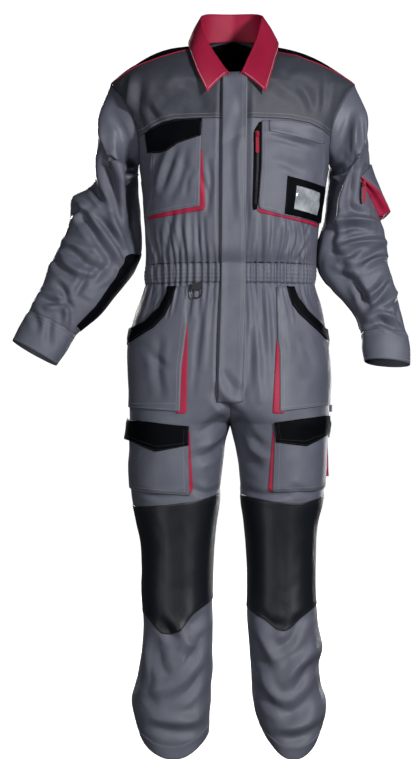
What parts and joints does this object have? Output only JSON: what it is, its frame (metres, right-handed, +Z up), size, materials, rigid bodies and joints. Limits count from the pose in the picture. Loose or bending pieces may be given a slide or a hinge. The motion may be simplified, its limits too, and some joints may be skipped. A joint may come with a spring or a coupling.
{
  "type": "boiler suit",
  "caption": "Long-sleeved work coverall, worn and hollow, with folded collar, button placket, bellows pockets, knee patches, gathered waist and a hanging D-ring.",
  "frame": {"origin": "between the tops of the shoulders, where the wearer's shoulders hold the suit up, midway front to back", "axes": "+Z up from the hems to the collar, -Y out of the suit's front, +X to the wearer's left"},
  "size_m": [0.8624, 0.2879, 1.6353],
  "materials": {
    "grey_cloth": "satin twill",
    "black_cloth": "satin",
    "inset_cloth": "matte",
    "red_cloth": "satin twill",
    "zip_red": "gloss",
    "window_film": "gloss",
    "ring_black": "gloss"
  },
  "bodies": {
    "suit": {"front_yoke_r": "grey_cloth", "front_chest_r": "grey_cloth", "front_yoke_l": "grey_cloth", "front_chest_l": "grey_cloth", "back_yoke": "grey_cloth", "back_panel": "grey_cloth", "waistband_front_r": "grey_cloth", "waistband_front_l": "grey_cloth", "waistband_back": "grey_cloth", "leg_front_r": "grey_cloth", "leg_back_r": "grey_cloth", "leg_front_l": "grey_cloth", "leg_back_l": "grey_cloth", "sleeve_r": "grey_cloth", "cuff_r": "grey_cloth", "sleeve_l": "grey_cloth", "cuff_l": "grey_cloth", "placket": "grey_cloth", "chest_pocket_r": "grey_cloth", "chest_pocket_l": "grey_cloth", "chest_welt_l": "grey_cloth", "hip_pocket_r": "grey_cloth", "hip_pocket_l": "grey_cloth", "thigh_pocket_r": "grey_cloth", "thigh_pocket_l": "grey_cloth", "rule_pocket": "grey_cloth", "hammer_loop": "grey_cloth", "arm_pocket": "grey_cloth", "elbow_patch_r": "black_cloth", "elbow_patch_l": "black_cloth", "chest_flap_r": "black_cloth", "chest_zip_tape": "black_cloth", "id_frame": "black_cloth", "hip_binding_r": "black_cloth", "hip_binding_l": "black_cloth", "thigh_flap_r": "black_cloth", "thigh_flap_l": "black_cloth", "knee_r": "black_cloth", "knee_l": "black_cloth", "rule_flap": "black_cloth", "ring_loop": "black_cloth", "shoulder_inset_r": "inset_cloth", "shoulder_inset_l": "inset_cloth", "collar": "red_cloth", "chest_gusset_r": "red_cloth", "chest_gusset_l": "red_cloth", "hip_gusset_r": "red_cloth", "hip_gusset_l": "red_cloth", "thigh_gusset_r": "red_cloth", "thigh_gusset_l": "red_cloth", "rule_gusset": "red_cloth", "arm_gusset": "red_cloth", "chest_slider": "zip_red", "arm_slider": "zip_red", "id_window": "window_film"},
    "chest_pull": {"chest_pull": "zip_red"},
    "arm_pull": {"arm_pull": "zip_red"},
    "d_ring": {"d_ring": "ring_black"}
  },
  "joints": [
    {"name": "chest_pull_swing", "type": "hinge", "parent": "suit", "child": "chest_pull", "pos_m": [0.0565, -0.14851, -0.2155], "axis": [1, 0, 0], "range_deg": [-150, 0]},
    {"name": "arm_pull_swing", "type": "hinge", "parent": "suit", "child": "arm_pull", "pos_m": [0.29071, -0.05301, -0.31141], "axis": [1, 0, 0], "range_deg": [-150, 0]},
    {"name": "d_ring_swing", "type": "hinge", "parent": "suit", "child": "d_ring", "pos_m": [-0.073, -0.12348, -0.541], "axis": [1, 0, 0], "range_deg": [-100, 0]}
  ]
}
